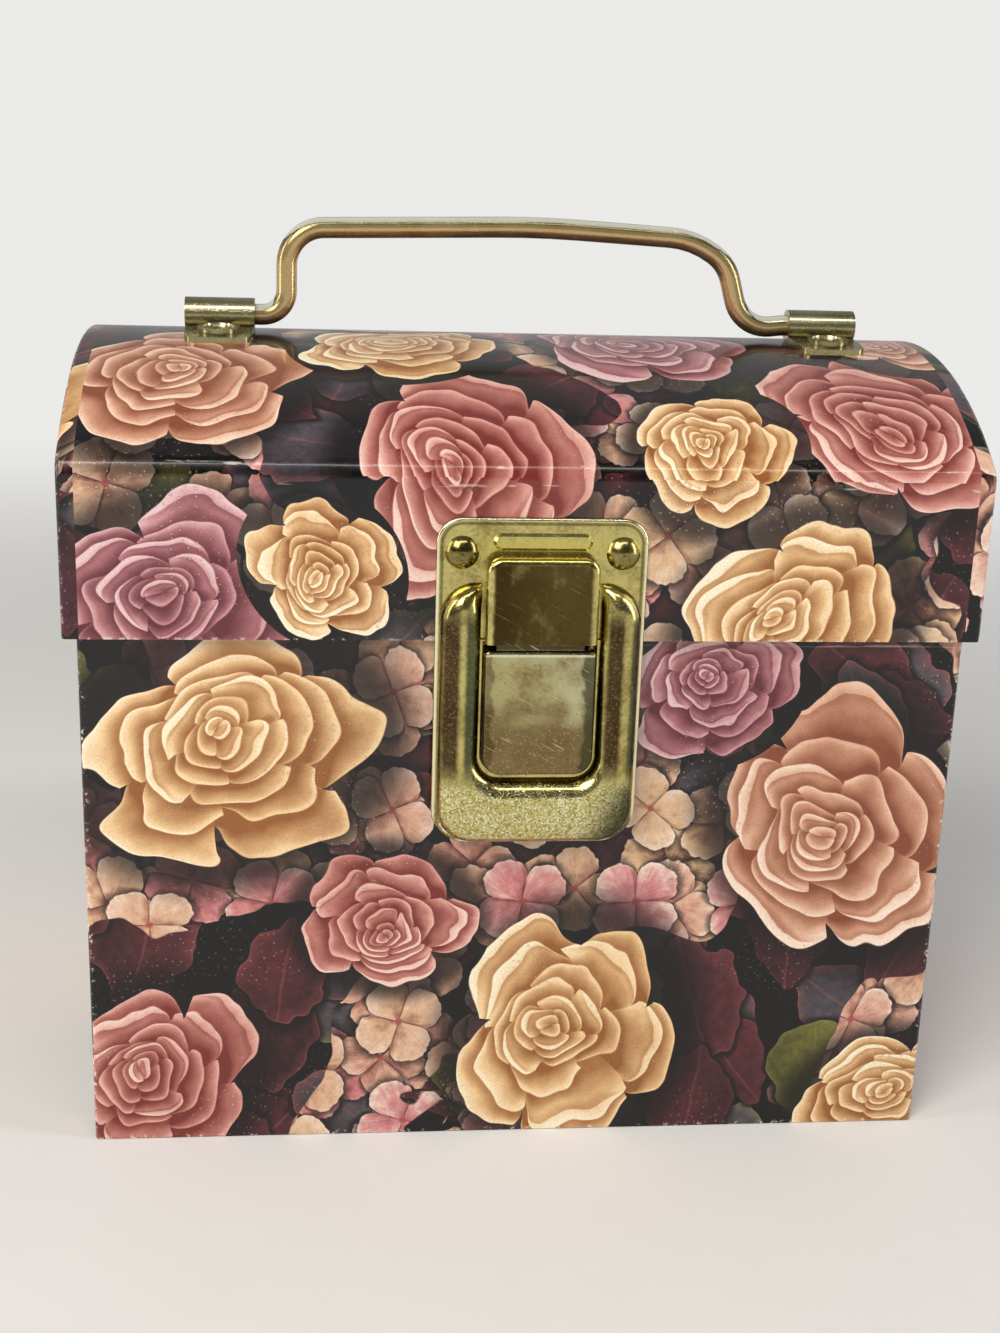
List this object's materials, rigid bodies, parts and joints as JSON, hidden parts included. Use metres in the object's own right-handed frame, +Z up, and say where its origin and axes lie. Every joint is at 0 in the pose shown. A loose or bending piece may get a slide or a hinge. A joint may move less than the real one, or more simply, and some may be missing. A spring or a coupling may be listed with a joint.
{
  "type": "cosmetic train case",
  "caption": "Small paper-covered case with a domed hinged lid, a brassed snap latch on the front and a folding wire carrying handle on top.",
  "frame": {"origin": "middle of the case body's outline at the underside of the base", "axes": "+X to the viewer's right along the width, +Y to the back where the hinges are, +Z up"},
  "size_m": [0.16, 0.1067, 0.1656],
  "materials": {
    "printed_paper": "glossy coated paper with a floral print",
    "board": "raw grey-brown board",
    "lining_paper": "plain satin lining paper",
    "base_paper": "plain dark paper",
    "brass": "bright yellow plating with fine pitting",
    "spring_steel": "plain spring steel"
  },
  "bodies": {
    "case": {"base_board": "board", "base_sheet": "base_paper", "body_front_board": "board", "body_back_board": "board", "body_left_board": "board", "body_right_board": "board", "body_wrap": "printed_paper", "body_lining": "lining_paper", "catch_plate": "brass", "catch_plate_rivets": "brass", "catch_spring": "spring_steel", "pivot_pin": "brass", "hinge_body_leaf_left": "brass", "hinge_body_leaf_right": "brass", "hinge_body_rivets": "brass", "hinge_pin_left": "brass", "hinge_pin_right": "brass"},
    "lid": {"lid_front_board": "board", "lid_back_board": "board", "lid_left_board": "board", "lid_right_board": "board", "lid_top_board": "board", "lid_wrap": "printed_paper", "lid_left_sheet": "printed_paper", "lid_right_sheet": "printed_paper", "lid_lining": "lining_paper", "latch_cover": "brass", "latch_cover_rivets": "brass", "hinge_lid_leaf_left": "brass", "hinge_lid_leaf_right": "brass", "hinge_lid_rivets": "brass", "handle_bracket_left": "brass", "handle_bracket_right": "brass", "bracket_rivets": "brass"},
    "push_plate": {"push_plate": "brass"},
    "handle": {"handle_bail": "brass"}
  },
  "joints": [
    {"name": "lid_hinge", "type": "hinge", "parent": "case", "child": "lid", "pos_m": [0, 0.0502, 0.09715], "axis": [-1, 0, 0], "range_deg": [0, 175]},
    {"name": "handle_pivot", "type": "hinge", "parent": "lid", "child": "handle", "pos_m": [0.0022, -0.0011, 0.14681], "axis": [1, 0, 0], "range_deg": [-95, 95]},
    {"name": "push_plate_pivot", "type": "hinge", "parent": "case", "child": "push_plate", "pos_m": [0.0012, -0.0512, 0.1008], "axis": [1, 0, 0], "range_deg": [0, 9.5], "stiffness_Nm_per_rad": 0.05, "springref_deg": -11.46, "deforming": ["catch_spring"]}
  ]
}
